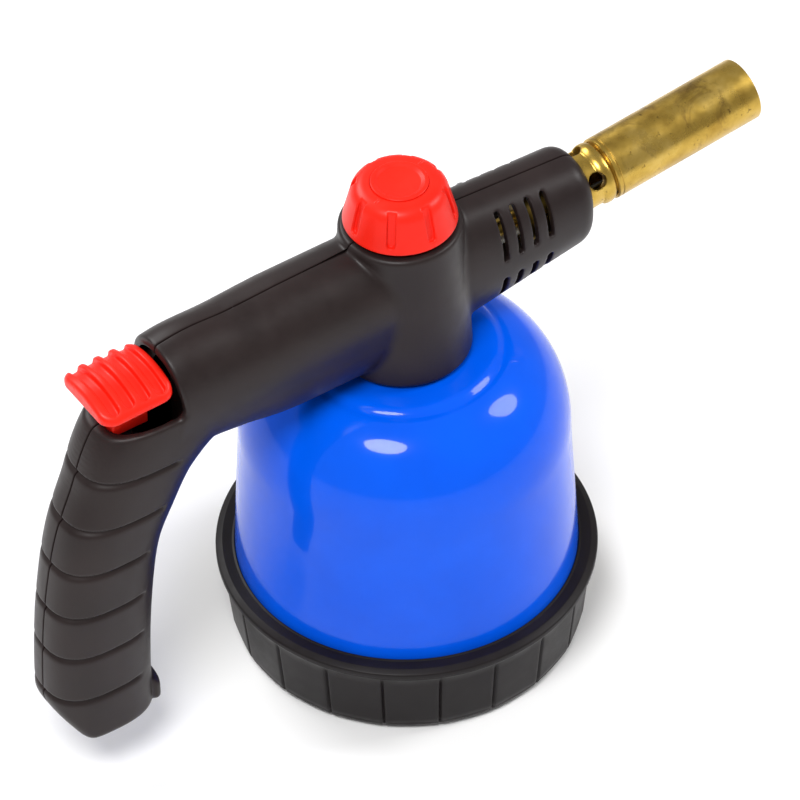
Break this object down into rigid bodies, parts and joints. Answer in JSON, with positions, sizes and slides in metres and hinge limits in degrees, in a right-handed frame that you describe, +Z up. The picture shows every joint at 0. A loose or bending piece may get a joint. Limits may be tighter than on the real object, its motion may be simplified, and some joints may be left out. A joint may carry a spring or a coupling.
{
  "type": "cartridge blow torch",
  "caption": "Hand-held gas blow torch: pistol handle and barrel over a cartridge cup, with a brass burner, a gas knob, an igniter button and a screw-on base cap.",
  "frame": {"origin": "on the common axis of the cup and the gas knob, at the underside of the base cap", "axes": "+X towards the burner's mouth, +Z up the knob's axis, +Y to the left of someone who holds the handle"},
  "size_m": [0.2365, 0.109, 0.1637],
  "materials": {
    "black_plastic": "satin moulded, fine spark-eroded grain",
    "base_plastic": "satin moulded",
    "blue_paint": "high gloss enamel on pressed steel",
    "red_plastic": "semi-gloss moulded",
    "burner_brass": "turned, lightly tarnished",
    "brass_inner": "turned",
    "screw_steel": "zinc plated",
    "tinplate": "lacquered tinplate",
    "seal_rubber": "moulded nitrile",
    "ceramic": "glazed alumina",
    "piezo_plastic": "moulded",
    "lead_jacket": "silicone sleeve"
  },
  "bodies": {
    "torch": {"housing_left": "black_plastic", "housing_right": "black_plastic", "housing_screws": "screw_steel", "canister_cup": "blue_paint", "collar_ring": "base_plastic", "valve_body": "brass_inner", "cartridge_seal": "seal_rubber", "piercing_pin": "screw_steel", "mounting_washer": "screw_steel", "valve_lock_nut": "brass_inner", "gland_nut": "brass_inner", "burner_neck": "burner_brass", "burner_tube": "burner_brass", "flame_holder": "burner_brass", "gas_tube": "brass_inner", "jet_nozzle": "brass_inner", "ceramic_insulator": "ceramic", "spark_electrode": "screw_steel", "piezo_body": "piezo_plastic", "ignition_lead": "lead_jacket"},
    "stem_seal": {"stem_o_ring": "seal_rubber"},
    "control": {"control_knob": "red_plastic", "knob_cap": "red_plastic", "knob_screw": "screw_steel", "valve_stem": "brass_inner"},
    "button": {"trigger_button": "red_plastic", "piezo_plunger": "piezo_plastic"},
    "cartridge": {"gas_cartridge": "tinplate"},
    "cap": {"base_cap": "base_plastic"}
  },
  "joints": [
    {"name": "spindle_rise", "type": "slide", "parent": "torch", "child": "stem_seal", "axis": [0, 0, 1], "range_m": [0, 0.0015]},
    {"name": "knob_turn", "type": "hinge", "parent": "stem_seal", "child": "control", "pos_m": [0, 0, 0.16], "axis": [0, 0, 1], "range_deg": [0, 541]},
    {"name": "button_press", "type": "slide", "parent": "torch", "child": "button", "axis": [0, 0, -1], "range_m": [0, 0.0055], "stiffness_N_per_m": 900, "springref_m": -0.001},
    {"name": "base_drop", "type": "slide", "parent": "torch", "child": "cartridge", "axis": [0, 0, -1], "range_m": [0, 0.1]},
    {"name": "base_turn", "type": "hinge", "parent": "cartridge", "child": "cap", "pos_m": [0, 0, 0.01], "axis": [0, 0, 1], "range_deg": [0, 900]}
  ],
  "couplings": [
    {"joint": "knob_turn", "follows": "spindle_rise", "rad_per_m": 6283.2}
  ]
}
